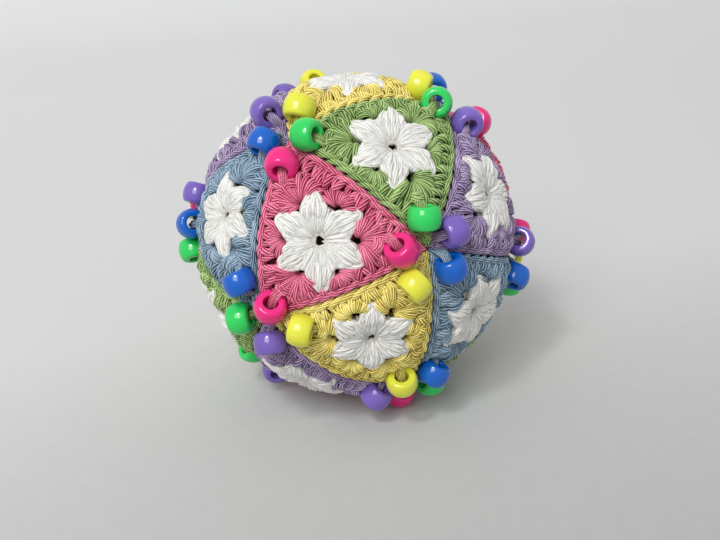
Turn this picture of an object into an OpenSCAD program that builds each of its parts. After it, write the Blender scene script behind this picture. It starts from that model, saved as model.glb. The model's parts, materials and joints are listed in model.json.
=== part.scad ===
// Pin cushion: a stuffed ball crocheted from twenty triangular star motifs, with a
// threaded bead at every motif corner. Origin at the ball's centre, +Z up through the
// middle of the top yellow motif. The front of the ball faces -Y.

/* [Ball] */
// Radius of the ball over the middle of a crocheted motif
ball_r = 47; // [46:0.5:60]
// Radius of the ball where five motif corners meet
corner_r = 44.5; // [44:0.1:46]
// Radius of the fibre filling
stuffing_r = 42.9; // [35:0.1:43]
// Turn of the whole pattern about the vertical axis, in degrees
spin = -5; // [-36:1:36]

/* [Motifs] */
// Distance from each motif's edge to the middle of the seam
seam_inset = 0.9; // [0.5:0.1:2]
// Clearance between the filling and the back of the motifs
back_gap = 0.1; // [0.05:0.05:0.5]
// Radius of the solid middle of a white star
star_middle_r = 8.4; // [6:0.1:9]
// Distance from the star's centre to the middle of a petal's round end
petal_reach = 9.2; // [8:0.1:10]
// Radius of a petal's round end
petal_r = 3.2; // [2:0.1:3.5]
// Turn of a star's petals from halfway between a corner and a side, in degrees
star_turn = 8; // [-15:1:15]
// Clearance between a star and the coloured border round it
star_gap = 0.1; // [0.05:0.05:0.5]
// Radius of the small hole in the middle of a star
centre_hole_r = 0.7; // [0.4:0.1:1.5]

/* [Seams] */
// Radius of the joining cord between two motifs
seam_cord_r = 0.8; // [0.4:0.1:0.8]
// Distance from the ball's centre to the middle of the joining cord
seam_r = 45.2; // [44:0.1:46]
// Half the arc that a joining cord spans, in degrees
seam_half_arc = 18; // [10:1:19]

/* [Beads] */
// Widest radius of a bead
bead_r = 4.5; // [4:0.1:4.6]
// Length of a bead along its hole
bead_length = 6.2; // [5:0.1:6.4]
// Radius of a bead's hole
bore_r = 2; // [1.6:0.1:2.3]
// Radius of the curve along a bead's side
barrel_r = 6; // [5:0.5:12]
// Radius of a bead's rounded ends
lip_r = 1.1; // [0.9:0.1:1.2]
// Distance from the ball's centre to the middle of a bead
bead_level = 49.2; // [49:0.1:52]
// Distance from the meeting point of five motifs to the middle of a bead
bead_out = 8.5; // [8.4:0.1:10]
// Room between a bead and the dimple that it sits in
dimple_gap = 0.3; // [0.3:0.1:0.6]

/* [Loops] */
// Radius of the yarn loop that a bead is threaded on
loop_r = 1.2; // [0.6:0.1:1.3]
// Distance from a bead's end to the loop's bend
bend_gap = 0.4; // [0.3:0.1:1]
// Distance from the ball's centre to the foot of a loop
loop_foot_r = 44.4; // [43.5:0.1:45]

/* [Hidden] */
$fn = 64;
// Reach of the cutting solids, well past the ball
far = 100;
// Turn that keeps the spheres' seam lines clear of a motif's corners and petals
sphere_turn = 68;

// Colour names count the five motif colours, and every corner of the ball meets one of each
yellow = 0;
green = 1;
blue = 2;
lavender = 3;
pink = 4;
yarn_colours = [
    [0.93, 0.8, 0.35],
    [0.52, 0.68, 0.4],
    [0.47, 0.61, 0.75],
    [0.65, 0.55, 0.73],
    [0.87, 0.4, 0.56]
];
bead_colours = [
    [0.9, 0.9, 0.2],
    [0.1, 0.8, 0.33],
    [0.08, 0.4, 0.8],
    [0.5, 0.37, 0.72],
    [0.93, 0.15, 0.5]
];
star_colour = [0.93, 0.92, 0.9];
stuffing_colour = [0.96, 0.96, 0.94];
seam_colour = [0.8, 0.78, 0.74];

// Angles of an icosahedron that stands on one face: from the vertical to each ring of
// three corners, and from a motif's middle to the middle of its edge
golden = (1 + sqrt(5)) / 2;
corner_angle = acos(sqrt((5 + 2 * sqrt(5)) / 15));
second_angle = acos(sqrt((5 - 2 * sqrt(5)) / 15));
edge_angle = acos(golden / sqrt(3));
ring_angles = [corner_angle, second_angle, 180 - second_angle, 180 - corner_angle];

// The three corners of each motif, four motifs for each colour. Corners 0 to 2 are the top
// ring, 3 to 5 and 6 to 8 the two rings round the middle, and 9 to 11 the bottom ring.
motifs = [
    [[2, 0, 1], [5, 8, 11], [6, 9, 3], [4, 10, 7]],
    [[2, 5, 0], [1, 7, 3], [8, 4, 10], [11, 6, 9]],
    [[0, 1, 3], [2, 8, 4], [5, 11, 6], [10, 9, 7]],
    [[2, 4, 1], [5, 6, 0], [9, 7, 3], [8, 11, 10]],
    [[2, 5, 8], [6, 0, 3], [4, 1, 7], [11, 10, 9]]
];
// The pairs of corners that an edge joins
edges = [
    [0, 1], [1, 2], [2, 0],
    [0, 3], [1, 3], [1, 4], [2, 4], [2, 5], [0, 5],
    [0, 6], [3, 6], [1, 7], [3, 7], [4, 7], [2, 8], [4, 8], [5, 8], [5, 6],
    [6, 9], [3, 9], [7, 9], [7, 10], [4, 10], [8, 10], [8, 11], [5, 11], [6, 11],
    [9, 10], [10, 11], [11, 9]
];
// Beads that lie askew on their loops: corner, colour, distance out from the corner,
// distance to the side, lift of the hole's inner end and turn of the hole, in degrees
askew = [
    [0, yellow, 10, 1.4, -5, -10], [0, green, 10, -1, 20, 10], [0, blue, 9, 3, 12, 0],
    [0, lavender, 10, -2.5, 10, -35], [0, pink, 11.5, -2.5, 0, 20],
    [1, yellow, 5.9, 1.1, 12, 0], [1, green, 11.2, 0.6, 12, 0], [1, blue, 8.8, 2.8, 12, 0],
    [1, lavender, 6.6, -2.1, 12, 0], [1, pink, 9.9, -2.4, 12, 0],
    [2, yellow, 8.5, -1, 25, 5], [2, green, 7.6, -2.7, 10, -15], [2, blue, 5.8, -0.6, 0, 30],
    [2, lavender, 12, -3.5, 0, -10], [2, pink, 11, -2.2, 20, -12],
    [4, yellow, 10.4, 1.1, 12, 0], [4, green, 11.1, -1.4, -10, 0],
    [4, blue, 7.6, -2.9, -15, 10], [4, lavender, 6.4, 0.2, 0, 25], [4, pink, 8.9, 2, 12, 0],
    [5, yellow, 10.5, -1, 5, -20], [5, green, 9, 1.5, 15, -5], [5, blue, 7, 0, 0, -20],
    [5, lavender, 7.2, 1.5, 10, -10], [5, pink, 9.5, 1, 35, -35],
    [6, yellow, 10.5, -0.5, 12, 0], [6, green, 9.6, 1.7, 12, 0], [6, blue, 7.7, 1.6, -5, 30],
    [6, lavender, 7.1, -0.7, -10, 20], [6, pink, 8.6, -2.0, 12, 0],
    [8, yellow, 13, 3.6, -5, 0], [8, green, 6.2, -2, 35, -10], [8, blue, 12, -3.5, 5, -10],
    [8, lavender, 6.2, 2.2, 35, 20], [8, pink, 8, -1, 25, 5],
    [11, yellow, 12.5, -1, -10, -20], [11, green, 8.5, 0, 20, 0], [11, blue, 11, 3, -20, 0],
    [11, lavender, 10.5, -3, 30, 40]
];
default_lift = 12;

// Pillow sphere of a motif: it passes through the motif's middle and its corners
pillow_offset = (ball_r * ball_r - corner_r * corner_r)
    / (2 * (ball_r - corner_r * cos(corner_angle)));
pillow_r = ball_r - pillow_offset;

// Bead profile: the middle of the rounded lip, and how far the lip's arc meets the side
bead_half = bead_length / 2;
lip_height = bead_half - lip_r;
barrel_offset = bead_r - barrel_r;
lip_reach = barrel_offset + sqrt((barrel_r - lip_r) * (barrel_r - lip_r) - lip_height * lip_height);
side_height = lip_height * barrel_r / (barrel_r - lip_r);
bead_reach = norm([lip_reach, lip_height]) + lip_r;
loop_end = bead_half + bend_gap + loop_r;

// ---------- Places ----------

function unit(v) = v / norm(v);
function polar(angle, azimuth) = [sin(angle) * cos(azimuth), sin(angle) * sin(azimuth), cos(angle)];
function corner(i) =
    let (ring = floor(i / 3))
    polar(ring_angles[ring], spin + 60 * (ring % 2) + 120 * (i % 3));
function motif_axis(m) = unit(corner(m[0]) + corner(m[1]) + corner(m[2]));

// Matrix that puts an object's axes on x, y, z and its origin on p
function place(x, y, z, p = [0, 0, 0]) = [
    [x[0], y[0], z[0], p[0]],
    [x[1], y[1], z[1], p[1]],
    [x[2], y[2], z[2], p[2]],
    [0, 0, 0, 1]
];
// Frame of a motif: z out through its middle, x towards its first corner
function motif_frame(m) =
    let (z = motif_axis(m), first = corner(m[0]), x = unit(first - z * (first * z)))
    place(x, cross(z, x), z);
// Frame of a seam: z out through the edge's middle, x along the edge
function seam_frame(e) =
    let (a = corner(e[0]), b = corner(e[1]), z = unit(a + b), x = unit(b - a))
    place(x, cross(z, x), z);

// The motif of one colour at a corner, and the askew entry of a bead or undef
function motif_at(c, colour) = [for (m = motifs[colour]) if (len(search(c, m)) > 0) m][0];
function fit_of(c, colour) =
    let (found = [for (b = askew) if (b[0] == c && b[1] == colour) b])
    len(found) > 0 ? found[0] : [c, colour, bead_out, 0, default_lift, 0];
// Frame of a bead: z along its hole towards the motif's middle, x away from the ball
function bead_frame(c, colour) =
    let (
        fit = fit_of(c, colour),
        up = corner(c),
        axis = motif_axis(motif_at(c, colour)),
        inward = unit(axis - up * (axis * up)),
        out = unit(up * bead_level + inward * fit[2] + cross(up, inward) * fit[3]),
        along = unit(inward - out * (inward * out)),
        across = cross(out, along),
        level = along * cos(fit[5]) + across * sin(fit[5]),
        z = level * cos(fit[4]) + out * sin(fit[4]),
        x = unit(out - z * (out * z))
    )
    place(x, cross(z, x), z, out * bead_level);
// Length of a loop's leg, from its bend down to the foot
function leg_length(f) =
    let (
        x = [f[0][0], f[1][0], f[2][0]],
        z = [f[0][2], f[1][2], f[2][2]],
        bend = [f[0][3], f[1][3], f[2][3]] + z * loop_end,
        drop = bend * x
    )
    drop - sqrt(drop * drop - bend * bend + loop_foot_r * loop_foot_r);

// ---------- Ball ----------

// Fibre filling, which fills the crocheted cover
module stuffing() {
    color(stuffing_colour) sphere(stuffing_r, $fn = 96);
}

// Joining cords: one under each edge where two motifs are crocheted together
module joining_seams() {
    color(seam_colour)
        for (e = edges)
            multmatrix(seam_frame(e)) seam_cord();
}

module seam_cord() {
    rotate([90, 0, 0])
        rotate([0, 0, 90 - seam_half_arc])
            rotate_extrude(angle = 2 * seam_half_arc, $fn = 96)
                translate([seam_r, 0])
                    circle(seam_cord_r, $fn = 24);
}

// ---------- Motifs ----------

// Everything on a motif's side of its three seams, in the motif's frame
module motif_wedge() {
    intersection_for (side = [60, 180, 300])
        rotate([0, 0, side])
            rotate([0, edge_angle, 0])
                translate([-far - seam_inset, -far, 0])
                    cube([far, 2 * far, far]);
}

// A sphere turned so that its seam line runs clear of the motif's corners and petals
module turned_sphere(r) {
    rotate([0, 0, sphere_turn]) sphere(r, $fn = 96);
}

// The pillowed crochet fabric of one motif
module motif_fabric() {
    difference() {
        intersection() {
            translate([0, 0, pillow_offset]) turned_sphere(pillow_r);
            motif_wedge();
        }
        turned_sphere(stuffing_r + back_gap);
    }
}

// Prism over the outline of a six-petalled star
module star_prism(room) {
    linear_extrude(far) {
        circle(star_middle_r + room);
        for (k = [0:5])
            rotate([0, 0, 30 + star_turn + 60 * k])
                translate([petal_reach, 0])
                    circle(petal_r + room);
    }
}

module star() {
    difference() {
        intersection() {
            motif_fabric();
            star_prism(0);
        }
        cylinder(h = far, r = centre_hole_r);
    }
}

// The four white stars of one motif colour
module stars(colour) {
    color(star_colour)
        for (m = motifs[colour])
            multmatrix(motif_frame(m)) star();
}

// The coloured border of one motif, with the three loops that its beads are threaded on
module border(colour, number) {
    m = motifs[colour][number - 1];
    color(yarn_colours[colour]) {
        difference() {
            multmatrix(motif_frame(m))
                difference() {
                    motif_fabric();
                    star_prism(star_gap);
                }
            for (c = m)
                multmatrix(bead_frame(c, colour)) sphere(bead_reach + dimple_gap);
        }
        for (c = m)
            let (frame = bead_frame(c, colour))
                multmatrix(frame) bead_loop(leg_length(frame));
    }
}

// Loop through a bead's hole, in the bead's frame, with its leg down to the motif
module bead_loop(leg) {
    translate([0, 0, -loop_end]) cylinder(h = 2 * loop_end, r = loop_r, $fn = 32);
    translate([0, 0, -loop_end]) sphere(loop_r, $fn = 32);
    translate([0, 0, loop_end]) sphere(loop_r, $fn = 32);
    translate([0, 0, loop_end]) rotate([0, -90, 0]) cylinder(h = leg, r = loop_r, $fn = 32);
}

// ---------- Beads ----------

module bead_profile() {
    intersection() {
        union() {
            intersection() {
                translate([barrel_offset, 0]) circle(barrel_r, $fn = 96);
                translate([0, -side_height]) square([bead_r + 1, 2 * side_height]);
            }
            for (side = [-1, 1])
                translate([lip_reach, side * lip_height]) circle(lip_r, $fn = 32);
        }
        translate([bore_r, -bead_half - 1]) square([bead_r, bead_length + 2]);
    }
}

// One barrel-shaped bead at a corner of the ball
module bead(c, colour) {
    color(bead_colours[colour])
        multmatrix(bead_frame(c, colour))
            rotate_extrude() bead_profile();
}

// The five beads round one corner
module bead_cluster(c) {
    for (colour = [yellow, green, blue, lavender, pink])
        bead(c, colour);
}

stuffing();
joining_seams();
stars(yellow);  // stars_yellow
stars(green);  // stars_green
stars(blue);  // stars_blue
stars(lavender);  // stars_lavender
stars(pink);  // stars_pink
border(yellow, 1);  // border_yellow_1
border(yellow, 2);  // border_yellow_2
border(yellow, 3);  // border_yellow_3
border(yellow, 4);  // border_yellow_4
border(green, 1);  // border_green_1
border(green, 2);  // border_green_2
border(green, 3);  // border_green_3
border(green, 4);  // border_green_4
border(blue, 1);  // border_blue_1
border(blue, 2);  // border_blue_2
border(blue, 3);  // border_blue_3
border(blue, 4);  // border_blue_4
border(lavender, 1);  // border_lavender_1
border(lavender, 2);  // border_lavender_2
border(lavender, 3);  // border_lavender_3
border(lavender, 4);  // border_lavender_4
border(pink, 1);  // border_pink_1
border(pink, 2);  // border_pink_2
border(pink, 3);  // border_pink_3
border(pink, 4);  // border_pink_4
bead(2, yellow);  // bead_front_left_yellow
bead(2, green);  // bead_front_left_green
bead(2, blue);  // bead_front_left_blue
bead(2, lavender);  // bead_front_left_lavender
bead(2, pink);  // bead_front_left_pink
bead(5, yellow);  // bead_front_right_yellow
bead(5, green);  // bead_front_right_green
bead(5, blue);  // bead_front_right_blue
bead(5, lavender);  // bead_front_right_lavender
bead(5, pink);  // bead_front_right_pink
bead(8, yellow);  // bead_lower_left_yellow
bead(8, green);  // bead_lower_left_green
bead(8, blue);  // bead_lower_left_blue
bead(8, lavender);  // bead_lower_left_lavender
bead(8, pink);  // bead_lower_left_pink
bead(6, yellow);  // bead_right_yellow
bead(6, green);  // bead_right_green
bead(6, blue);  // bead_right_blue
bead(6, lavender);  // bead_right_lavender
bead(6, pink);  // bead_right_pink
bead(0, yellow);  // bead_upper_right_yellow
bead(0, green);  // bead_upper_right_green
bead(0, blue);  // bead_upper_right_blue
bead(0, lavender);  // bead_upper_right_lavender
bead(0, pink);  // bead_upper_right_pink
bead_cluster(1);  // beads_upper_back
bead_cluster(3);  // beads_back_right
bead_cluster(4);  // beads_left
bead_cluster(7);  // beads_back
bead_cluster(9);  // beads_bottom_right
bead_cluster(10);  // beads_bottom_left
bead_cluster(11);  // beads_bottom_front
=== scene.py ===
"""Pin cushion: a stuffed ball of twenty crocheted star motifs with a threaded bead at
every motif corner. The ball's lengths are in millimetres in the CAD's frame, and become
metres when a mesh is made. The camera, the lights and the floor are given in metres."""

import json
import math

import bpy
import numpy as np
from mathutils import Matrix, Vector
from mathutils.bvhtree import BVHTree

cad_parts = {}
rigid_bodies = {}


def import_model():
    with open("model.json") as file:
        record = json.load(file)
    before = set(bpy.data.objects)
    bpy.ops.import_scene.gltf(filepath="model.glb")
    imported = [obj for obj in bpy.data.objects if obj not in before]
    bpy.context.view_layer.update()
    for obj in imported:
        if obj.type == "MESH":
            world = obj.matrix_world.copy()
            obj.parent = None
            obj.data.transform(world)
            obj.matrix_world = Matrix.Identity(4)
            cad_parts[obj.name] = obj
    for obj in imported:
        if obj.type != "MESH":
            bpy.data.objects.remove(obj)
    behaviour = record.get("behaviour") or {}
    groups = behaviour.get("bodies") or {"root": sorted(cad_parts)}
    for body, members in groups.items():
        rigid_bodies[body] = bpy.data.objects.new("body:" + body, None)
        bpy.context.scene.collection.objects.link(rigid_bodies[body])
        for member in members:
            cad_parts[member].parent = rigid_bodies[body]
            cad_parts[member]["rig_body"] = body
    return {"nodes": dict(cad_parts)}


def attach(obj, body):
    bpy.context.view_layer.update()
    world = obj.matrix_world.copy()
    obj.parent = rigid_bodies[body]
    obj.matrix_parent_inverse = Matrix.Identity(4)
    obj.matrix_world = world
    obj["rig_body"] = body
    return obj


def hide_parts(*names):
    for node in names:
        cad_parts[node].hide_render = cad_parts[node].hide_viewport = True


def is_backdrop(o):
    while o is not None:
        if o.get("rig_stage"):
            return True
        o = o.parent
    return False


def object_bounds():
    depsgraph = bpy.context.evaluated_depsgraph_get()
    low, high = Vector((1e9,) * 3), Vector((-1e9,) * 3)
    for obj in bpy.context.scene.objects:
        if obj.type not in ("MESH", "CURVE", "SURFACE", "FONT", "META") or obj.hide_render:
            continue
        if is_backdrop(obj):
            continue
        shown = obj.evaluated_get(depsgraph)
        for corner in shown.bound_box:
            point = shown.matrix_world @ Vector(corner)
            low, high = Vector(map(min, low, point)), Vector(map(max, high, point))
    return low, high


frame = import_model()
cad_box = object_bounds()
scene = bpy.context.scene

MM = 0.001
COLOURS = ("yellow", "green", "blue", "lavender", "pink")
COVER_SEED, BORDER_SEED, ROPE_SEED, LAY_SEED = 5, 100, 300, 500  # stars use their motif's own

# ---------- Camera ----------

EYE = Vector((0.00164, -0.26855, 0.09239))
VIEW_AZIMUTH, VIEW_ELEVATION, VIEW_ROLL = (math.radians(a) for a in (0.24, 21.14, -4.4))
LENS_MM, SENSOR_MM = 46.74, 36.0


def add_camera():
    camera = bpy.data.objects.new("camera", bpy.data.cameras.new("camera"))
    scene.collection.objects.link(camera)
    scene.camera = camera
    camera.data.lens = LENS_MM
    camera.data.sensor_width = SENSOR_MM
    camera.data.clip_start, camera.data.clip_end = 0.01, 10
    tilt = Matrix.Rotation(math.pi / 2 - VIEW_ELEVATION, 4, "X")
    turn = Matrix.Rotation(VIEW_AZIMUTH, 4, "Z")
    roll = Matrix.Rotation(VIEW_ROLL, 4, "Z")
    camera.matrix_world = Matrix.Translation(EYE) @ turn @ tilt @ roll


add_camera()

# ---------- The ball's pattern, as in the CAD ----------

# Radii over the middle of a motif, over its corners, along its seams, and of the filling
BALL_R, CORNER_R, SEAM_R, STUFFING_R = 47.0, 44.5, 46.0, 42.9
SPIN = math.radians(-5)
CORNER_ANGLE = math.acos(math.sqrt((5 + 2 * math.sqrt(5)) / 15))
SECOND_ANGLE = math.acos(math.sqrt((5 - 2 * math.sqrt(5)) / 15))
RING_ANGLES = (CORNER_ANGLE, SECOND_ANGLE, math.pi - SECOND_ANGLE, math.pi - CORNER_ANGLE)
# The three corners of each colour's four motifs
MOTIFS = {
    "yellow": ((2, 0, 1), (5, 8, 11), (6, 9, 3), (4, 10, 7)),
    "green": ((2, 5, 0), (1, 7, 3), (8, 4, 10), (11, 6, 9)),
    "blue": ((0, 1, 3), (2, 8, 4), (5, 11, 6), (10, 9, 7)),
    "lavender": ((2, 4, 1), (5, 6, 0), (9, 7, 3), (8, 11, 10)),
    "pink": ((2, 5, 8), (6, 0, 3), (4, 1, 7), (11, 10, 9)),
}


def unit(v):
    """Vectors, each made one long."""
    return v / np.linalg.norm(v, axis=-1, keepdims=True)


def corner(i):
    """Direction of one of the ball's twelve corners, which lie in four rings of three."""
    angle = RING_ANGLES[i // 3]
    azimuth = SPIN + math.radians(60 * (i // 3 % 2) + 120 * (i % 3))
    return np.array(
        [math.sin(angle) * math.cos(azimuth), math.sin(angle) * math.sin(azimuth), math.cos(angle)]
    )


class Motif:
    """One motif's own axes: z out through its middle, x towards its first corner."""

    def __init__(self, colour, number, corners):
        self.colour, self.corner_ids = colour, corners
        self.corners = np.array([corner(c) for c in corners])
        if np.linalg.det(self.corners) < 0:  # corners run anticlockwise, seen from outside
            self.corners = self.corners[[0, 2, 1]]
        self.z = unit(self.corners.sum(0))
        self.x = unit(self.corners[0] - self.z * (self.corners[0] @ self.z))
        self.y = np.cross(self.z, self.x)
        self.seed = 10 * COLOURS.index(colour) + number
        self.name = f"{colour}_{number}"

    def towards(self, xy):
        """Directions for distances over the fabric from the motif's middle."""
        xy = np.asarray(xy, float)
        reach = np.linalg.norm(xy, axis=-1, keepdims=True)
        flat = (xy[..., :1] * self.x + xy[..., 1:] * self.y) / np.maximum(reach, 1e-9)
        angle = reach / BALL_R
        return np.cos(angle) * self.z + np.sin(angle) * flat

    def side(self, k, along, inside):
        """Directions for distances along side k from its middle, and in from the seam."""
        a, b = self.corners[k], self.corners[(k + 1) % 3]
        middle = unit(a + b)
        run = unit(b - a)
        inward = np.cross(middle, run)
        inward *= np.sign(inward @ self.z)
        along, inside = (np.asarray(v, float)[..., None] / SEAM_R for v in (along, inside))
        on_seam = np.cos(along) * middle + np.sin(along) * run
        return np.cos(inside) * on_seam + np.sin(inside) * inward


motifs = [Motif(c, i + 1, ids) for c in COLOURS for i, ids in enumerate(MOTIFS[c])]

# Pillow sphere of a motif, through its middle and its corners
PILLOW_OFFSET = (BALL_R**2 - CORNER_R**2) / (2 * (BALL_R - CORNER_R * math.cos(CORNER_ANGLE)))
PILLOW_R = BALL_R - PILLOW_OFFSET


# ---------- Mesh helpers ----------


def add_mesh(name, points, faces, materials=(), face_material=None):
    """An object from points in millimetres and faces, which may differ in their number of sides."""
    mesh = bpy.data.meshes.new(name)
    mesh.from_pydata((np.asarray(points) * MM).tolist(), [], faces)
    for material in materials:
        mesh.materials.append(material)
    if face_material is not None:
        mesh.polygons.foreach_set("material_index", face_material)
    mesh.shade_smooth()
    mesh.update()
    piece = bpy.data.objects.new(name, mesh)
    scene.collection.objects.link(piece)
    return piece


def vertex_places(mesh):
    """A mesh's points, in millimetres."""
    places = np.zeros(len(mesh.vertices) * 3)
    mesh.vertices.foreach_get("co", places)
    return places.reshape(-1, 3) / MM


def tube_quads(rings, size, closed=False):
    """Ring numbers, place numbers and corners of a tube's quads. A closed tube joins its ends."""
    i, j = np.meshgrid(np.arange(rings - 1 + closed), np.arange(size), indexing="ij")
    ni, nj = (i + 1) % rings, (j + 1) % size
    quads = np.stack([i * size + j, i * size + nj, ni * size + nj, ni * size + j], -1)
    return i, j, quads.reshape(-1, 4)


def motif_net(motif, steps):
    """A triangle net over one motif: directions by steps from its corners, and its faces."""
    a, b, c = motif.corners
    directions = {
        (i, j): unit(i * a + j * b + (steps - i - j) * c)
        for i in range(steps + 1)
        for j in range(steps + 1 - i)
    }
    faces = []
    for i, j in directions:
        if i + j < steps:
            faces.append(((i, j), (i + 1, j), (i, j + 1)))
        if i + j < steps - 1:
            faces.append(((i + 1, j), (i + 1, j + 1), (i, j + 1)))
    return directions, faces


# ---------- The stuffed cover ----------

PANEL_STEPS = 16
SLACK = 0.9  # how far the cover's panels start inside their full shape
LUMPS = 0.1  # unevenness of the filling behind them
SWELL_LIMIT = 1.5  # the furthest that a point may move
SIM_PRESSURE, SIM_FRAMES = 2600, 20
SIM_MASS, SIM_STRETCH, SIM_SHEAR = 0.05, 8, 4


def ball_net(steps):
    """Directions and faces of a triangle net over the ball, whose lines follow every seam."""
    index, directions, faces, on_seam = {}, [], [], []
    for motif in motifs:
        net, net_faces = motif_net(motif, steps)
        ids = {}
        for (i, j), direction in net.items():
            key = tuple(np.round(direction, 5) + 0.0)
            if key not in index:
                index[key] = len(directions)
                directions.append(direction)
                on_seam.append(0 in (i, j, steps - i - j))
            ids[i, j] = index[key]
        faces += [tuple(ids[step] for step in face) for face in net_faces]
    return np.array(directions), faces, np.array(on_seam)


def full_radius(directions):
    """Radius of the full, smooth cover, where each direction belongs to its nearest motif."""
    axes = np.array([m.z for m in motifs])
    cosine = (directions @ axes.T).max(axis=1)
    return PILLOW_OFFSET * cosine + np.sqrt(PILLOW_R**2 - PILLOW_OFFSET**2 * (1 - cosine**2))


def stuffed_cover():
    """The cover's panels, slack at first, swelled by their filling against pinned seams."""
    directions, faces, on_seam = ball_net(PANEL_STEPS)
    full = full_radius(directions)
    lumps = np.random.default_rng(COVER_SEED).normal(0, LUMPS, len(full))
    start = directions * np.where(on_seam, full, full - SLACK + lumps)[:, None]
    cover = add_mesh("cover", start, faces)
    pins = cover.vertex_groups.new(name="seams")
    pins.add(np.flatnonzero(on_seam).tolist(), 1, "REPLACE")
    settings = cover.modifiers.new("cloth", "CLOTH").settings
    settings.vertex_group_mass = pins.name
    settings.use_pressure = True
    settings.uniform_pressure_force = SIM_PRESSURE
    settings.effector_weights.gravity = 0
    settings.mass = SIM_MASS
    settings.tension_stiffness = settings.compression_stiffness = SIM_STRETCH
    settings.shear_stiffness = SIM_SHEAR
    for step in range(1, SIM_FRAMES + 1):
        scene.frame_set(step)
    swelled = cover.evaluated_get(bpy.context.evaluated_depsgraph_get()).data
    move = vertex_places(swelled) - start
    size = np.linalg.norm(move, axis=1, keepdims=True)
    found = start + move * np.minimum(1, SWELL_LIMIT / (size + 1e-9))
    scene.frame_set(1)
    cover.modifiers.clear()
    cover.data.vertices.foreach_set("co", (found * MM).ravel())
    cover.modifiers.new("round", "SUBSURF").levels = 1
    rounded = cover.evaluated_get(bpy.context.evaluated_depsgraph_get()).data
    places = vertex_places(rounded)
    corners = [tuple(f.vertices) for f in rounded.polygons]
    bpy.data.objects.remove(cover)
    return places, corners


class Cover:
    """The swelled cover, and its radius in any direction."""

    STEPS = 240

    def __init__(self):
        self.points, self.faces = stuffed_cover()
        tree = BVHTree.FromPolygons(self.points.tolist(), self.faces)
        polar = np.linspace(0, math.pi, self.STEPS + 1)
        azimuth = np.linspace(-math.pi, math.pi, 2 * self.STEPS + 1)
        self.table = np.empty((len(polar), len(azimuth)))
        for i, p in enumerate(polar):
            for j, a in enumerate(azimuth):
                d = Vector((math.sin(p) * math.cos(a), math.sin(p) * math.sin(a), math.cos(p)))
                self.table[i, j] = tree.ray_cast((0, 0, 0), d)[0].length

    def radius(self, directions):
        """The cover's radius, from the four nearest places in the table."""
        row = np.arccos(np.clip(directions[..., 2], -1, 1)) / math.pi * self.STEPS
        column = (np.arctan2(directions[..., 1], directions[..., 0]) / math.pi + 1) * self.STEPS
        i = np.clip(row.astype(int), 0, self.STEPS - 1)
        j = np.clip(column.astype(int), 0, 2 * self.STEPS - 1)
        u, v = row - i, column - j
        t = self.table
        return (1 - u) * ((1 - v) * t[i, j] + v * t[i, j + 1]) + u * (
            (1 - v) * t[i + 1, j] + v * t[i + 1, j + 1]
        )

    def place(self, directions, height):
        """Points at a height over the cover, in millimetres."""
        return directions * (self.radius(directions) + height)[..., None]


# ---------- Beads ----------

# Radius and length, radius of the hole, and rounds of the outside, its lips and the hole's rim
BEAD_R, BEAD_LENGTH, BORE_R, BARREL_R, LIP_R, RIM_R = 4.5, 6.2, 2.0, 6.0, 1.1, 0.35
LIP_HEIGHT = BEAD_LENGTH / 2 - LIP_R
LIP_REACH = BEAD_R - BARREL_R + math.sqrt((BARREL_R - LIP_R) ** 2 - LIP_HEIGHT**2)
BEAD_SEGMENTS = 72
GATE_RADIUS, GATE_HEIGHT, GATE_FADE = 0.55, 0.07, 1.6  # the raised mark fades by 1.6 radii


class Bead:
    """Where the CAD puts one bead: z along its hole towards its motif, x away from the ball."""

    def __init__(self, node, points, triangles):
        a, b, c = (points[triangles[:, i]] for i in range(3))
        volume = (a * np.cross(b, c)).sum(1) / 6
        s = a + b + c
        self.centre = (volume[:, None] * s).sum(0) / 4 / volume.sum()
        # The hole runs along the direction in which the solid spreads least
        spread = sum(np.einsum("n,ni,nj->ij", volume / 20, v, v) for v in (a, b, c, s))
        spread -= volume.sum() * np.outer(self.centre, self.centre)
        hole = np.linalg.eigh(spread)[1][:, 0]
        self.out = unit(self.centre)
        self.corner = int(np.argmax([self.out @ corner(i) for i in range(12)]))
        near = [m for m in motifs if self.corner in m.corner_ids]
        self.motif = max(near, key=lambda m: self.out @ m.z)
        self.z = hole * np.sign(hole @ (self.motif.z - self.out * (self.motif.z @ self.out)))
        self.x = unit(self.out - self.z * (self.out @ self.z))
        self.y = np.cross(self.z, self.x)
        self.node, self.body = node.name, node["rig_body"]
        self.colour = self.motif.colour

    def to_ball(self, points):
        """Points given as x, y, z in the bead's own frame."""
        return self.centre + np.asarray(points) @ np.array([self.x, self.y, self.z])


def islands(mesh):
    """The separate solids of a CAD mesh, as points and triangles."""
    places = vertex_places(mesh)
    _, first, same = np.unique(np.round(places, 4), axis=0, return_index=True, return_inverse=True)
    places, same = places[first], same.ravel()
    mesh.calc_loop_triangles()
    triangles = np.zeros(len(mesh.loop_triangles) * 3, int)
    mesh.loop_triangles.foreach_get("vertices", triangles)
    triangles = same[triangles.reshape(-1, 3)]
    group = np.arange(len(places))
    while True:
        lowest = group[triangles].min(1)
        new = group.copy()
        for i in range(3):
            np.minimum.at(new, triangles[:, i], lowest)
        if (new == group).all():
            break
        group = new
    for g in np.unique(group[triangles[:, 0]]):
        yield places, triangles[group[triangles[:, 0]] == g]


def find_beads():
    """Every bead of the CAD, from the nodes of single beads and of five."""
    return [
        Bead(node, points, triangles)
        for name, node in sorted(frame["nodes"].items())
        if name.startswith("bead")
        for points, triangles in islands(node.data)
    ]


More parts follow.
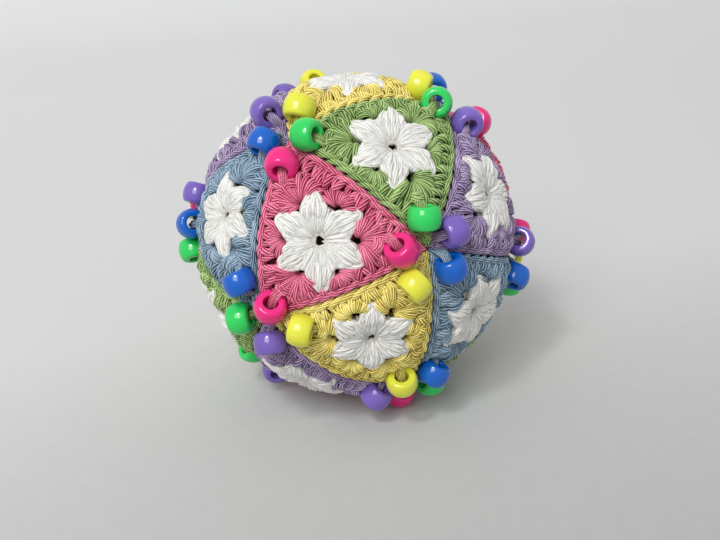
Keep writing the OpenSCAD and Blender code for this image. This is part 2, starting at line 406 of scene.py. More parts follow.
def bead_profile():
    """Radius and height round a bead's wall, from the middle of its bore round the outside."""
    half = BEAD_LENGTH / 2
    meet = math.atan2(LIP_HEIGHT, LIP_REACH - (BEAD_R - BARREL_R))
    points = [(BORE_R, 0), (BORE_R, half - RIM_R - 0.6), (BORE_R, half - RIM_R)]
    points += [
        (BORE_R + RIM_R * (1 - math.cos(t)), half - RIM_R * (1 - math.sin(t)))
        for t in np.radians((30, 60, 90))
    ]
    points += [
        (LIP_REACH + LIP_R * math.sin(t), LIP_HEIGHT + LIP_R * math.cos(t))
        for t in np.linspace(0.1, math.pi / 2 - meet, 7)
    ]
    points += [
        (BEAD_R - BARREL_R + BARREL_R * math.cos(t), BARREL_R * math.sin(t))
        for t in np.linspace(meet, 0, 8)[1:]
    ]
    return points + [(r, -z) for r, z in points[-2:0:-1]]


def bead_mesh(bead):
    """A moulded bead, with a small raised mark where it broke off its runner."""
    profile = np.array(bead_profile())
    turn = np.linspace(0, 2 * math.pi, BEAD_SEGMENTS, endpoint=False)
    r, z = profile[:, 0], profile[:, 1]
    around = np.stack([np.outer(np.cos(turn), r), np.outer(np.sin(turn), r)], -1)
    points = np.concatenate([around, np.broadcast_to(z, (len(turn), len(z)))[..., None]], -1)
    outside = r > LIP_REACH
    off_mark = np.hypot(turn[:, None] * BEAD_R, z) / GATE_RADIUS
    mark = GATE_HEIGHT * np.clip(GATE_FADE - off_mark, 0, 1) * outside
    points[..., :2] *= (1 + mark / np.maximum(r, 1e-6))[..., None]
    _, _, quads = tube_quads(BEAD_SEGMENTS, len(profile), closed=True)
    return bead.to_ball(points.reshape(-1, 3)), quads.tolist()


# ---------- Yarn ----------

PLIES = 6
PLY_STEPS = 3  # points round each ply
PLY_DEPTH, STAR_PLY_DEPTH = 0.46, 0.2  # grooves between plies, as a share of the yarn's radius
RING = np.arange(PLY_STEPS * PLIES) / (PLY_STEPS * PLIES) * 2 * math.pi
GROOVE = (1 - np.abs(np.sin(np.arange(len(RING)) % PLY_STEPS / PLY_STEPS * math.pi))) ** 1.3
TIGHT, LOOSE = 2 * math.pi / 9, 2 * math.pi / 26  # turn of the plies for each millimetre of yarn
# The second slot holds the backing's painted shade
STRAND_SLOT, SHADE_BACKING_SLOT = 0, 1
CORNER_CUTS = 3


def smoothed(paths, radii, rings):
    """Paths of control points turned into smooth ones with evenly spaced points."""
    full = np.concatenate([paths, radii[..., None]], -1)
    for _ in range(CORNER_CUTS):
        early = 0.75 * full[:, :-1] + 0.25 * full[:, 1:]
        late = 0.25 * full[:, :-1] + 0.75 * full[:, 1:]
        cut = np.stack([early, late], 2).reshape(len(full), -1, 4)
        full = np.concatenate([full[:, :1], cut, full[:, -1:]], 1)
    out = np.empty((len(full), rings, 4))
    lengths = np.empty((len(full), rings))
    for n, path in enumerate(full):
        run = np.concatenate([[0], np.cumsum(np.linalg.norm(np.diff(path[:, :3], axis=0), axis=1))])
        lengths[n] = np.linspace(0, run[-1], rings)
        for k in range(4):
            out[n, :, k] = np.interp(lengths[n], run, path[:, k])
    return out[..., :3], out[..., 3], lengths


def mirrored(vectors, step):
    """Vectors mirrored in the planes that their steps cross at right angles."""
    size = np.maximum((step * step).sum(-1, keepdims=True), 1e-12)
    return vectors - step * 2 * (step * vectors).sum(-1, keepdims=True) / size


def carried_frames(points, seed_normal):
    """Directions across each path that turn as little as possible from ring to ring."""
    along = unit(np.gradient(points, axis=1))
    normal = np.empty_like(points)
    first = seed_normal - along[:, 0] * (seed_normal * along[:, 0]).sum(-1, keepdims=True)
    weak = np.linalg.norm(first, axis=-1, keepdims=True) < 1e-3
    first = np.where(weak, np.cross(along[:, 0], [0.3, 0.5, 0.8]), first)
    normal[:, 0] = unit(first)
    for i in range(1, points.shape[1]):
        step = points[:, i] - points[:, i - 1]
        turn = along[:, i] - mirrored(along[:, i - 1], step)
        normal[:, i] = mirrored(mirrored(normal[:, i - 1], step), turn)
    return normal, np.cross(along, normal)


class Yarn:
    """Collects plied strands and backing into one mesh."""

    def __init__(self, seed, depth=PLY_DEPTH):
        self.rng = np.random.default_rng(seed)
        self.profile = 1 - depth * GROOVE
        self.points, self.faces, self.slots, self.uvs = [], [], [], []
        self.count = 0

    def strands(self, paths, radii, rings, twist=TIGHT, wobble=0.08):
        """Adds one strand for each path. Radii match the control points."""
        paths = np.asarray(paths, float)
        radii = np.broadcast_to(np.asarray(radii, float), paths.shape[:2])
        paths = paths + self.rng.normal(0, wobble, paths.shape)
        points, radius, run = smoothed(paths, radii, rings)
        normal, across = carried_frames(points, unit(points[:, 0]))
        turn = RING + twist * run[..., None] + self.rng.uniform(0, 2 * math.pi, (len(paths), 1, 1))
        reach = (radius[..., None] * self.profile)[..., None]
        outward = np.cos(turn)[..., None] * normal[:, :, None]
        outward = outward + np.sin(turn)[..., None] * across[:, :, None]
        rings_at = points[:, :, None] + reach * outward
        size = len(RING)
        block = rings * size
        i, j, quads = tube_quads(rings, size)
        corners = ((i, j), (i, j + 1), (i + 1, j + 1), (i + 1, j))
        caps = np.array([range(size - 1, -1, -1), range(block - size, block)])
        offset = self.rng.uniform(0, 50, len(paths))
        for n in range(len(paths)):
            self.points.append(rings_at[n].reshape(-1, 3))
            self.faces += (quads + self.count).tolist() + (caps + self.count).tolist()
            self.slots += [STRAND_SLOT] * (len(quads) + len(caps))
            r = run[n] + offset[n]
            uv = np.stack([np.stack([r[a], b / PLY_STEPS], -1) for a, b in corners], 2)
            self.uvs += [uv.reshape(-1, 2), np.zeros((2 * size, 2))]
            self.count += block

    def slab(self, faces, top, bottom, slot):
        """Adds a closed sheet of fabric under the strands."""
        used, local = np.unique(faces, return_inverse=True)
        local = local.reshape(-1, 3)
        n = len(used)
        self.points += [top[used], bottom[used]]
        sides = {}
        for f in local:
            for a, b in zip(f, np.roll(f, -1)):
                if (b, a) in sides:
                    del sides[b, a]
                else:
                    sides[a, b] = True
        c = self.count
        made = [[v + c for v in f] for f in local.tolist()]
        made += [[v + c + n for v in f[::-1]] for f in local.tolist()]
        made += [[b + c, a + c, a + c + n, b + c + n] for a, b in sides]
        self.faces += made
        self.slots += [slot] * len(made)
        self.uvs.append(np.zeros((sum(len(f) for f in made), 2)))
        self.count += 2 * n

    def piece(self, name, materials):
        """The finished mesh. Its UVs run along a strand, in millimetres, and round its plies."""
        piece = add_mesh(name, np.concatenate(self.points), self.faces, materials, self.slots)
        layer = piece.data.uv_layers.new(name="yarn")
        layer.data.foreach_set("uv", np.concatenate(self.uvs).ravel())
        return piece


# ---------- Crochet ----------

CENTRE_HOLE_R = 1.15
CORNER_HOLE, SIDE_HOLE = 10.4, 9.4  # from the motif's middle to the holes that the fans rise from
HOLE_R = 1.1
STAR_TURN = math.radians(8)
PETALS = 6
FINE_STRANDS, THICK_STRANDS = 9, 5  # of each petal
# On the scale of star_level: the border dips within the first, the backing is white in the second
STAR_DIP, STAR_BACKING = 13.0, 12.0
DIP_HEIGHT = -0.9  # the highest that the border's strands lie under the star
HOLE_TURN, HOLE_SHIFT = 0.4, 0.8  # shares of its star's turn and shift that a hole follows
SLAB_STEPS = 64
SLAB_TOP, SLAB_BOTTOM = -1.0, -2.4
KNOT_HEIGHT, KNOT_RATE = 0.18, 2.6  # unevenness of the slab's top
STITCH = 3.6  # width of one border stitch
CORNER_FAN, SIDE_FAN = 110, 92  # half angles of the fans, in degrees
CORNER_FAN_YARN, SIDE_FAN_YARN = 0.88, 0.74  # thickest radius of a fan's strands
# Rings of points along one strand of each kind
FAN_RINGS, STITCH_RINGS, ROPE_RINGS, LOOP_RINGS, HOLD_RINGS = 15, 11, 13, 34, 14
FINE_RINGS, THICK_RINGS, TIP_RINGS = 22, 14, 30
# Where two sides' stitches and ropes would meet, from the middle of a side, and a rope's end
STITCH_MITRE, ROPE_MITRE, ROPE_END = 25.4, 25.6, 24.6
LOOP_YARN, LOOP_END = 0.55, -1.8  # a bead loop's yarn, and how deep its ends go
NEAR_COSINE = 0.6  # beads within this of a motif's axis may press on its strands
BEAD_ROOM = 5.3  # fabric keeps this far from the middle of a bead
# Stars that lie a little off their motif's middle: x, y, extra turn in degrees, and size
STAR_LAY = {
    "pink_1": (-1.5, 0.1, 4, 1.05),
    "green_1": (0.9, 1.3, 3, 1.05),
    "yellow_2": (1.0, 0.5, -4, 0.97),
    "blue_2": (2.7, -1.2, 6, 0.97),
    "lavender_2": (1.5, -1.2, 4, 1.05),
    "blue_3": (1.2, 0.2, -5, 1.05),
}


def turned(xy, angle):
    """Points of a plan, turned about its middle."""
    c, s = math.cos(angle), math.sin(angle)
    return np.stack([c * xy[..., 0] - s * xy[..., 1], s * xy[..., 0] + c * xy[..., 1]], -1)


def star_level(xy):
    """How far out points of a star's own plan lie, on a scale where its outline is at 12.6."""
    turn = np.arctan2(xy[..., 1], xy[..., 0]) % (math.pi / 3) - math.pi / 6
    return np.linalg.norm(xy, axis=-1) * (np.cos(turn) + 1.2 * np.abs(np.sin(turn)))


class Crochet:
    """Lays one motif's strands over the stuffed cover."""

    def __init__(self, motif, cover, beads):
        self.motif, self.cover, self.beads = motif, cover, beads
        loose = np.random.default_rng(LAY_SEED + motif.seed)
        default = (*loose.normal(0, 0.5, 2), loose.normal(0, 3), loose.uniform(0.98, 1.06))
        x, y, extra, self.size = STAR_LAY.get(motif.name, default)
        self.shift, self.turn = np.array([x, y]), STAR_TURN + math.radians(extra)

    def over(self, directions, height):
        """Points over the cover, pressed down wherever a bead sits."""
        points = self.cover.place(directions, np.asarray(height, float))
        for bead in self.beads:
            off = points - bead.centre
            level = off @ bead.out
            wide2 = (off * off).sum(-1) - level**2
            under = wide2 < BEAD_ROOM**2
            floor = -np.sqrt(np.maximum(BEAD_ROOM**2 - wide2, 0))
            push = np.where(under & (level > floor), floor - level, 0)
            points = points + push[..., None] * bead.out
        return points

    def star_plan(self, directions):
        """Places of directions in the star's own plan."""
        angle = np.arccos(np.clip(directions @ self.motif.z, -1, 1)) * BALL_R
        flat = np.stack([directions @ self.motif.x, directions @ self.motif.y], -1)
        size = np.maximum(np.linalg.norm(flat, axis=-1, keepdims=True), 1e-9)
        plan = flat / size * angle[..., None]
        return turned(plan - self.shift, -self.turn) / self.size

    def beneath(self, directions, height):
        """Points over the cover, pressed down under the star as well."""
        depth = np.clip(STAR_DIP - star_level(self.star_plan(directions)), 0, 1)
        height = height - depth * np.maximum(np.asarray(height) - DIP_HEIGHT, 0)
        return self.over(directions, height)

    def hole(self, azimuth, reach):
        """Plan place of a hole round the star, which goes some way with the star."""
        azimuth += HOLE_TURN * self.turn
        return reach * np.array([math.cos(azimuth), math.sin(azimuth)]) + HOLE_SHIFT * self.shift

    def fan(self, yarn, azimuth, middle, half_angle, lengths, size):
        """Strands that rise out of one hole and spread like a shell."""
        turn = np.linspace(-half_angle, half_angle, len(lengths))
        turn = azimuth + turn + yarn.rng.normal(0, math.radians(2), len(turn))
        reach = np.array([0, 0, 0.3, 0.6, 0.86, 1.04]) * lengths[:, None]
        reach[:, :2] = 1.0, 1.2
        plan = middle + reach[..., None] * np.stack([np.cos(turn), np.sin(turn)], -1)[:, None]
        heights = np.array([-2.8, -1.1, 0.5, 1.35, 1.0, -1.5])
        heights = heights + yarn.rng.normal(0, 0.15, (len(turn), 1))
        radii = size * np.array([0.3, 0.36, 0.58, 0.86, 1.0, 0.85])
        points = self.beneath(self.motif.towards(plan), heights)
        yarn.strands(points, radii, FAN_RINGS, twist=LOOSE)

    def border(self, yarn):
        """The coloured round: a fan in each corner and on each side, stitches and bead loops."""
        for k in range(3):
            azimuth = k * 2 * math.pi / 3
            # Strands towards the corner are the longest, and those at the fan's ends the shortest
            angle = np.abs(np.linspace(-CORNER_FAN, CORNER_FAN, 15))
            lengths = 7.2 + 2.0 * np.cos(np.radians(np.minimum(1.5 * angle, 90))) ** 2
            lengths -= 0.05 * np.maximum(angle - 70, 0)
            hole = self.hole(azimuth, CORNER_HOLE)
            self.fan(yarn, azimuth, hole, math.radians(CORNER_FAN), lengths, CORNER_FAN_YARN)
            # The side fan ends along a line that is straight but for its last strands
            azimuth += math.pi / 3
            lengths = np.minimum(4.3 / np.cos(np.radians(np.linspace(-68, 68, 11))), 5.6)
            hole = self.hole(azimuth, SIDE_HOLE)
            self.fan(yarn, azimuth, hole, math.radians(SIDE_FAN), lengths, SIDE_FAN_YARN)
            self.side_stitches(yarn, k)
        for bead in self.beads:
            if bead.motif is self.motif:
                self.bead_loop(yarn, bead)

    def side_stitches(self, yarn, k):
        """The V-shaped stitches between the fans and the rope of chain stitch."""
        middle = STITCH * np.arange(-6, 7)
        middle = middle + yarn.rng.normal(0, 0.4, len(middle))
        # They reach further in beside the side fan than behind it, and where the star and its
        # fans lie away from this side, but stay clear of the next side's stitches in a corner
        facing = (2 * k + 1) * math.pi / 3
        towards = HOLE_SHIFT * self.shift @ [math.cos(facing), math.sin(facing)]
        deep = np.where(np.abs(middle) > 9, 6.2, 5.0) + max(-towards, 0)
        deep = np.minimum(deep, (STITCH_MITRE - np.abs(middle)) * 0.7)
        near_seam = [np.full_like(deep, 2.4), np.full_like(deep, 1.4)]
        for sign, rise in ((1, -0.15), (-1, 0.3)):
            inside = np.stack([deep + 0.4, deep - 0.3, 0.6 * deep + 0.7, *near_seam], 1)
            slant = yarn.rng.normal(0.4, 0.2, (len(middle), 1))
            along = middle[:, None] + sign * np.array([-0.2, 0.15, 0.65, 1.15, 1.3])
            along = along - slant * (inside - 3)
            heights = np.array([-1.8, -0.4, 0.5, 0.25, -1.2]) + rise
            heights = heights + yarn.rng.normal(0, 0.4, (len(middle), 1))
            size = yarn.rng.uniform(0.88, 1.08, (len(middle), 1))
            radii = size * np.array([0.65, 0.9, 1.02, 0.92, 0.7])
            points = self.beneath(self.motif.side(k, along, inside), heights)
            yarn.strands(points, radii, STITCH_RINGS)

    def rope(self, yarn, k):
        """The chain stitches along one side, each a slanted strand that dives under the next."""
        start = STITCH * np.arange(-7, 7) + 0.6 + yarn.rng.normal(0, 0.1, 14)
        reach = np.array([-1.0, 0.0, 1.6, 3.4, 4.8, 5.6])
        inside = np.array([0.5, 0.6, 0.95, 1.45, 1.9, 2.1])
        heights = np.array([-1.5, -0.4, 0.5, 0.45, -0.2, -1.4])
        along = np.clip(start[:, None] + reach, -ROPE_END, ROPE_END)
        inside = np.minimum(inside, 0.72 * (ROPE_MITRE - np.abs(along)))
        heights = heights + yarn.rng.normal(0, 0.08, (len(start), 1))
        radii = np.array([0.6, 0.72, 0.8, 0.8, 0.72, 0.6])
        points = self.over(self.motif.side(k, along, inside), heights)
        yarn.strands(points, radii, ROPE_RINGS)

    def bead_loop(self, yarn, bead):
        """Strands that rise over the bead's lip, go through its hole and down to the seam."""
        side = np.array([-0.85, 0, 0.85])[:, None]
        flat = np.array([1.5, 1.25, 1.1, 0.95, 0.85, 0.85, 0.9, 1.0, 1.2])
        x = np.array([-5.4, -4.6, -3.4, -2.0, -1.1, -0.5, -0.7, -2.4, -5.4]) + 0 * side
        z = np.array([3.9, 4.1, 4.05, 3.65, 2.2, 0.0, -3.4, -4.6, -4.9]) + 0 * side
        x[1] += 0.45
        points = bead.to_ball(np.stack([x, side * flat, z], -1))
        inward = unit(self.motif.z - bead.out * (self.motif.z @ bead.out))
        across = np.cross(bead.out, inward)
        # The loop rises close to the bead, from the side where the motif's middle is
        for i, reach, drop in ((0, 5.0, 3.4), (1, 4.9, 2.4)):
            foot = bead.centre + reach * inward - drop * bead.out
            points[:, i] = foot - side * flat[i] * across
        for end in (0, -1):  # the ends go straight down into the fabric
            points[:, end] = self.cover.place(unit(points[:, end]), np.full(3, LOOP_END))
        yarn.strands(points, np.full(len(flat), LOOP_YARN), LOOP_RINGS, wobble=0.05)
        # The stitches that hold the loop down
        near, far = [6.2, 5.8, 5.2, 5.1, 5.6, 6.0], [7.3, 7.0, 6.4, 6.3, 6.6, 7.0]
        reach = np.array([near, far])[..., None]
        aside = np.array([-2.6, -1.9, -0.8, 0.7, 1.8, 2.5])[:, None]
        directions = unit(bead.centre + reach * inward + aside * across)
        lifted = np.array([0, 0.5, 1, 1, 0.5, 0]) * np.array([[2.6], [1.4]]) * (bead.z @ bead.out)
        bar = self.over(directions, np.array([-1.3, 0.3, 1.2, 1.2, 0.3, -1.3]) + lifted)
        yarn.strands(bar, np.array([0.6, 0.75, 0.85, 0.85, 0.75, 0.6]), HOLD_RINGS)

    def petal(self, yarn, azimuth, reach, aside, heights, radii, rings, wobble):
        """Strands along one petal, given by their reach from the star's middle and their offset."""
        plan = turned(np.stack(np.broadcast_arrays(reach, aside), -1), azimuth)
        plan = self.size * turned(plan, self.turn) + self.shift
        points = self.over(self.motif.towards(plan), heights)
        yarn.strands(points, radii, rings, twist=LOOSE, wobble=wobble)

    def star(self, yarn):
        """The white star, petal by petal."""
        for k in range(PETALS):
            azimuth = math.radians(30 + 60 * k) + yarn.rng.normal(0, math.radians(2.5))
            # Fine strands spread as far as the next petal
            u = np.linspace(-1, 1, FINE_STRANDS)[:, None]
            end = 10.6 - 2.9 * np.abs(u)
            reach = np.array([1.45, 2.0, 3.4, 5.4, 7.0, 0, 0, 0]) + 0 * u
            reach[:, 5:] = np.concatenate([0.45 * (end + 7.4), end - 0.3, end + 0.1], 1)
            aside = u * np.array([0.5, 0.85, 1.8, 2.85, 3.5, 3.4, 3.0, 2.85])
            heights = np.array([-2.4, -0.9, -0.1, 0.35, 0.5, 0.5, 0.2, -1.4])
            heights = heights + yarn.rng.normal(0, 0.13, u.shape)
            radii = np.array([0.24, 0.28, 0.46, 0.64, 0.74, 0.74, 0.68, 0.5])
            self.petal(yarn, azimuth, reach, aside, heights, radii, FINE_RINGS, wobble=0.12)
            # Thick ones over them end in a loop that goes round the blunt tip
            u = np.linspace(-1, 1, THICK_STRANDS)[:, None]
            long = yarn.rng.normal(0.1, 0.25)
            end = 11.7 + long - 2.4 * np.abs(u)
            reach = np.array([4.8, 5.8, 7.4, 0, 0, 0]) + 0 * u
            reach[:, 3:] = np.concatenate([0.5 * (end + 7.4), end - 0.3, end], 1)
            aside = u * np.array([1.7, 2.3, 2.9, 2.6, 2.0, 1.8])
            aside = aside + yarn.rng.normal(0, 0.15, u.shape)
            heights = np.array([-0.5, 0.5, 0.95, 0.95, 0.6, -0.6]) - 0.3 * np.abs(u)
            heights = heights + yarn.rng.normal(0, 0.12, u.shape)
            radii = np.array([0.5, 0.78, 0.9, 0.92, 0.86, 0.7])
            self.petal(yarn, azimuth, reach, aside, heights, radii, THICK_RINGS, wobble=0.1)
            reach = np.array([[7.0, 7.7, 9.1, 10.7, 11.8, 12.1, 11.7, 10.5, 9.0, 7.6, 6.9]]) + long
            aside = np.array([[2.85, 2.9, 2.3, 1.5, 0.9, 0.1, -0.8, -1.5, -2.2, -2.9, -2.8]])
            heights = np.array([-0.9, 0.2, 0.45, 0.5, 0.4, 0.25, 0.4, 0.5, 0.45, 0.2, -0.9])
            radii = np.array([0.6] + [0.82] * 9 + [0.6])
            self.petal(yarn, azimuth, reach, aside, heights, radii, TIP_RINGS, wobble=0.14)

    def slabs(self, star, border):
        """The closed fabric under the strands: white under the star, where its flat UVs give it the
        white yarn's painted groove shade, and round it dark painted shade in the border's colour.
        """
        net, faces = motif_net(self.motif, SLAB_STEPS)
        ids = {step: n for n, step in enumerate(net)}
        directions = np.array(list(net.values()))
        faces = np.array([[ids[step] for step in face] for face in faces])
        plan = self.star_plan(directions)
        middle = plan[faces].mean(1)
        keep = np.linalg.norm(middle, axis=1) > CENTRE_HOLE_R
        for k in range(PETALS):
            hole = self.hole(k * math.pi / 3, SIDE_HOLE if k % 2 else CORNER_HOLE)
            hole = turned(hole - self.shift, -self.turn) / self.size
            keep &= np.linalg.norm(middle - hole, axis=1) > HOLE_R
        under = star_level(middle) < STAR_BACKING
        knots = KNOT_HEIGHT * np.sin(plan[:, 0] * KNOT_RATE) * np.sin(plan[:, 1] * KNOT_RATE)
        top = self.over(directions, SLAB_TOP + knots)
        bottom = unit(top) * (np.linalg.norm(top, axis=1, keepdims=True) + SLAB_BOTTOM - SLAB_TOP)
        star.slab(faces[keep & under], top, bottom, STRAND_SLOT)
        border.slab(faces[keep & ~under], top, bottom, SHADE_BACKING_SLOT)


# ---------- Materials ----------


def linear(level):
    """Linear light from a display level of 0 to 255."""
    return level / 255 / 12.92 if level < 11 else ((level / 255 + 0.055) / 1.055) ** 2.4


def rgb(*levels):
    """A colour from display levels."""
    return tuple(linear(level) for level in levels) + (1,)


def darker(colour, share):
    """A colour with only a share of its light."""
    return tuple(share * v for v in colour[:3]) + (1,)


class Nodes:
    """Short calls for building one material's nodes. Most return a node's output."""

    def __init__(self, name):
        self.material = bpy.data.materials.new(name)
        self.material.use_nodes = True
        self.tree = self.material.node_tree
        self.shader = self.tree.nodes["Principled BSDF"]

    def add(self, kind, *inputs, **settings):
        node = self.tree.nodes.new(kind)
        for key, value in settings.items():
            setattr(node, key, value)
        for socket, value in inputs:
            self.plug(node.inputs[socket], value)
        return node

    def plug(self, socket, value):
        """Gives a socket its value, or a link from another node's output."""
        if isinstance(value, bpy.types.NodeSocket):
            self.tree.links.new(value, socket)
        else:
            socket.default_value = value

    def math(self, operation, *values):
        return self.add("ShaderNodeMath", *enumerate(values), operation=operation).outputs[0]

    def noise(self, where, scale, detail, roughness):
        inputs = [("Vector", where), ("Scale", scale), ("Detail", detail), ("Roughness", roughness)]
        return self.add("ShaderNodeTexNoise", *inputs).outputs["Fac"]

    def ramp(self, fac, *stops):
        ramp = self.add("ShaderNodeValToRGB", ("Fac", fac))
        elements = ramp.color_ramp.elements
        while len(elements) < len(stops):
            elements.new(0.5)
        for element, (place, colour) in zip(elements, stops):
            element.position, element.color = place, colour
        return ramp.outputs["Color"]

    def spread(self, fac, low, high):
        """A level of 0 to 1 taken to the range from low to high."""
        inputs = [("Value", fac), ("To Min", low), ("To Max", high)]
        return self.add("ShaderNodeMapRange", *inputs).outputs["Result"]

    def finish(self, **inputs):
        """Sets the shader's sockets, named with _ for each space."""
        for name, value in inputs.items():
            self.plug(self.shader.inputs[name.replace("_", " ")], value)
        return self.material


def yarn_material(name, levels, sheen, glow=0.0, deep=False):
    """Mercerised cotton: plies with painted shade in their grooves and painted highlight on
    their crests, and fine fibres that run along them. Deep is the dark backing under the
    strands, whose colour is painted shade."""
    shadow, middle, light = (rgb(*level) for level in levels)
    n = Nodes(name)
    uv = n.add("ShaderNodeUVMap", uv_map="yarn").outputs["UV"]
    place = n.add("ShaderNodeTexCoord").outputs["Object"]
    stretched = n.add("ShaderNodeMapping", ("Vector", uv), ("Scale", (0.9, 7, 1))).outputs[0]
    fibre = n.noise(stretched, 1.6, 3, 0.65)
    patch = n.noise(place, 260, 2, 0.5)
    # The backing is painted shade: dark copies of the yarn's shadow colour stand for the shade in
    # the gaps between strands
    if deep:
        colour = n.ramp(patch, (0.3, darker(shadow, 0.3)), (0.75, darker(shadow, 0.6)))
    else:
        # Painted shade and highlight: the colour runs from the yarn's shadow in the grooves between
        # plies to its light on their crests
        split = n.add("ShaderNodeSeparateXYZ", ("Vector", uv))
        groove = n.math("FRACT", split.outputs["Y"])
        groove = n.math("ABSOLUTE", n.math("SUBTRACT", groove, 0.5))
        island = n.add("ShaderNodeNewGeometry").outputs["Random Per Island"]
        level = n.math("SUBTRACT", n.math("MULTIPLY", fibre, 0.7), n.math("MULTIPLY", groove, 1.15))
        level = n.math("ADD", level, n.math("MULTIPLY", n.math("ADD", patch, island), 0.2))
        colour = n.ramp(level, (0.0, shadow), (0.24, middle), (0.5, light))
    bump = n.add("ShaderNodeBump", ("Height", fibre), ("Strength", 0.35), ("Distance", 0.00012))
    return n.finish(
        Base_Color=colour,
        Roughness=n.spread(fibre, 0.5, 0.85),
        Normal=bump.outputs["Normal"],
        Sheen_Weight=sheen,
        Sheen_Roughness=0.5,
        Sheen_Tint=light,
        Specular_IOR_Level=0.35,
        Subsurface_Weight=glow,
        Subsurface_Radius=(0.001, 0.001, 0.001),
        Subsurface_Scale=1.0,
    )


def bead_material(name, colour, glow):
    """Glossy moulded plastic with faint swirls and fine scratches."""
    n = Nodes(name)
    place = n.add("ShaderNodeTexCoord").outputs["Object"]
    swirl = n.noise(place, 90, 3, 0.55)
    scratch = n.noise(place, 1500, 2, 0.7)
    bump = n.add("ShaderNodeBump", ("Height", swirl), ("Strength", 0.12), ("Distance", 0.0002))
    return n.finish(
        Base_Color=n.ramp(swirl, (0.3, darker(colour, 0.86)), (0.7, colour)),
        Roughness=n.spread(scratch, 0.08, 0.22),
        Normal=bump.outputs["Normal"],
        Subsurface_Weight=glow,
        Subsurface_Radius=(0.002, 0.002, 0.002),
        Subsurface_Scale=1.0,
        Coat_Weight=0.12,
        Coat_Roughness=0.06,
    )


def filling_material():
    """Filling coloured near black, painted shade for the bottom of the holes, where alone it shows.
    """
    n = Nodes("fibre_filling")
    place = n.add("ShaderNodeTexCoord").outputs["Object"]
    tuft = n.noise(place, 500, 4, 0.7)
    bump = n.add("ShaderNodeBump", ("Height", tuft), ("Strength", 0.8), ("Distance", 0.0006))
    return n.finish(
        Base_Color=n.ramp(tuft, (0.3, rgb(26, 22, 22)), (0.7, rgb(52, 46, 44))),
        Roughness=n.spread(tuft, 0.85, 1.0),
        Normal=bump.outputs["Normal"],
        Specular_IOR_Level=0.1,
    )


# Display levels of each yarn's shadow, middle and light
YARN_LEVELS = {
    "yellow": ((120, 90, 26), (237, 213, 98), (253, 243, 158)),
    "green": ((44, 72, 26), (122, 155, 76), (194, 216, 150)),
    "blue": ((48, 72, 94), (112, 141, 163), (180, 200, 213)),
    "lavender": ((72, 52, 90), (140, 121, 158), (199, 181, 212)),
    "pink": ((124, 14, 44), (213, 80, 118), (252, 160, 187)),
    "white": ((200, 197, 189), (228, 226, 220), (241, 239, 234)),
}
# Display levels of each plastic, and how much light passes through it
BEAD_LEVELS = {
    "yellow": ((228, 227, 68), 0.25),
    "green": ((44, 206, 94), 0.1),
    "blue": ((6, 94, 192), 0.0),
    "lavender": ((120, 96, 184), 0.06),
    "pink": ((234, 34, 126), 0.06),
}

# ---------- Build ----------

cover = Cover()
beads = find_beads()
yarns = {
    name: yarn_material(f"{name}_yarn", levels, sheen=0.12, glow=0.4 * (name == "white"))
    for name, levels in YARN_LEVELS.items()
}
# Backings in painted shade, one for each border colour
shade_backings = {
    name: yarn_material(f"{name}_yarn_below", YARN_LEVELS[name], sheen=0.0, deep=True)
    for name in COLOURS
}


def build_filling():
    points = cover.points * (STUFFING_R / BALL_R)
    core = add_mesh("filling", points, cover.faces, [filling_material()])
    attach(core, "ball")
    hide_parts("stuffing")


def build_motifs():
    ropes = {colour: Yarn(ROPE_SEED + i) for i, colour in enumerate(COLOURS)}
    for motif in motifs:
        near = [b for b in beads if b.out @ motif.z > NEAR_COSINE]
        crochet = Crochet(motif, cover, near)
        star, border = Yarn(motif.seed, STAR_PLY_DEPTH), Yarn(BORDER_SEED + motif.seed)
        crochet.star(star)
        crochet.border(border)
        crochet.slabs(star, border)
        for k in range(3):
            crochet.rope(ropes[motif.colour], k)
        white = star.piece(f"star_{motif.name}", [yarns["white"]])
        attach(white, "ball")
        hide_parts(f"stars_{motif.colour}")
        round_it = border.piece(f"motif_{motif.name}", [yarns[motif.colour], shade_backings[motif.colour]])
        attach(round_it, "ball")
        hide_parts(f"border_{motif.name}")
    for colour, rope in ropes.items():
        piece = rope.piece(f"seam_chain_{colour}", [yarns[colour]])
        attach(piece, "ball")
        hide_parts("joining_seams")


def build_beads():
    plastic = {
        name: bead_material(f"{name}_bead", rgb(*colour), glow)
        for name, (colour, glow) in BEAD_LEVELS.items()
    }
    for bead in beads:
        points, faces = bead_mesh(bead)
        name = f"threaded_bead_{bead.corner}_{bead.colour}"
        piece = add_mesh(name, points, faces, [plastic[bead.colour]])
        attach(piece, bead.body)
        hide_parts(bead.node)


# ---------- Floor and light ----------

FLOOR_Z = cad_box[0].z
FLOOR_FRONT, FLOOR_BACK, FLOOR_SIDE, CURVE_R, WALL_TOP = -1.2, 0.9, 3, 0.5, 2.4
FADE_START, FADE_RATE, FADE_SLANT, FADE_GRAIN = 0.1875, 0.625, 0.3, 0.02
# Painted shade: the floor's levels, darker towards the front and the right
FLOOR_SHADE = ((0.0, 158), (0.1, 166), (0.24, 207), (0.6, 224), (1.0, 235))  # from the front to the back
ROOM_COLOUR, ROOM_STRENGTH = (0.95, 0.97, 1, 1), 0.64


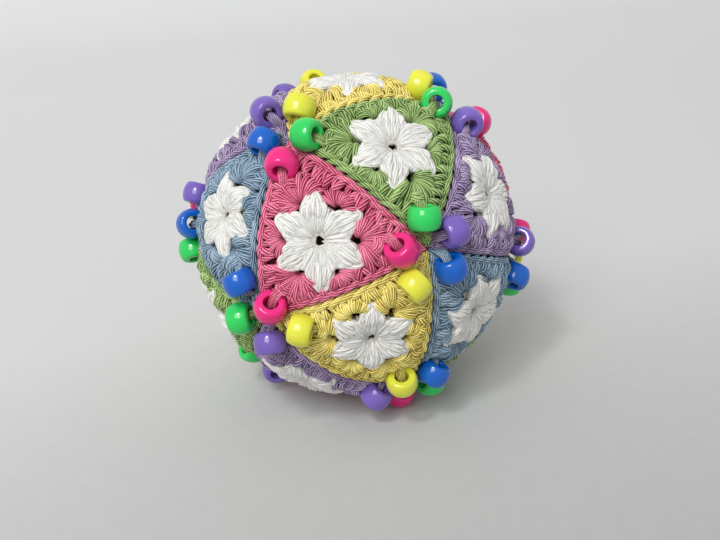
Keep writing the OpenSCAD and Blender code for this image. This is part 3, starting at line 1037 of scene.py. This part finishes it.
def add_floor():
    """A pale floor that curves up into a wall behind the ball, with painted shade that
    darkens it towards the front and the right.
    """
    depth = [(FLOOR_FRONT, 0), (FLOOR_BACK, 0)]
    depth += [
        (FLOOR_BACK + CURVE_R * math.sin(t), CURVE_R * (1 - math.cos(t)))
        for t in np.radians(range(10, 91, 10))
    ]
    depth += [(FLOOR_BACK + CURVE_R, WALL_TOP)]
    points = [(x, y, FLOOR_Z + z) for y, z in depth for x in (-FLOOR_SIDE, FLOOR_SIDE)]
    faces = [(2 * i, 2 * i + 1, 2 * i + 3, 2 * i + 2) for i in range(len(depth) - 1)]
    n = Nodes("pale_floor")
    place = n.add("ShaderNodeTexCoord").outputs["Object"]
    grain = n.noise(place, 300, 2, 0.5)
    split = n.add("ShaderNodeSeparateXYZ", ("Vector", place))
    slant = n.math("MULTIPLY", split.outputs["X"], FADE_SLANT)
    away = n.math("MULTIPLY", n.math("SUBTRACT", split.outputs["Y"], slant), FADE_RATE)
    away = n.math("ADD", away, n.math("MULTIPLY", grain, FADE_GRAIN))
    floor_shade = ((at, rgb(v, v, v - 2)) for at, v in FLOOR_SHADE)
    material = n.finish(
        Base_Color=n.ramp(n.math("ADD", away, FADE_START), *floor_shade),
        Roughness=n.spread(grain, 0.8, 0.95),
        Specular_IOR_Level=0.2,
    )
    add_mesh("floor", np.array(points) / MM, faces, [material])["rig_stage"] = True


def add_light(name, place, size, power):
    """A square light that shines at the ball's middle."""
    light = bpy.data.lights.new(name, "AREA")
    light.size, light.energy = size, power
    lamp = bpy.data.objects.new(name, light)
    scene.collection.objects.link(lamp)
    lamp.location = place
    lamp.rotation_mode = "QUATERNION"
    lamp.rotation_quaternion = (-Vector(place)).to_track_quat("-Z", "Y")


def add_world():
    world = bpy.data.worlds.new("room")
    world.use_nodes = True
    background = world.node_tree.nodes["Background"]
    background.inputs["Color"].default_value = ROOM_COLOUR
    background.inputs["Strength"].default_value = ROOM_STRENGTH
    scene.world = world


build_filling()
build_motifs()
build_beads()
add_floor()
add_light("window", place=(-0.9, -2.3, 2.0), size=1.6, power=50)
add_light("lamp", place=(-0.25, -0.55, 0.75), size=0.12, power=2.2)
add_world()
scene.view_settings.view_transform = "Standard"

boxes = {"cad": cad_box, "visual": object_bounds()}
{name: [list(corner) for corner in box] for name, box in boxes.items()}
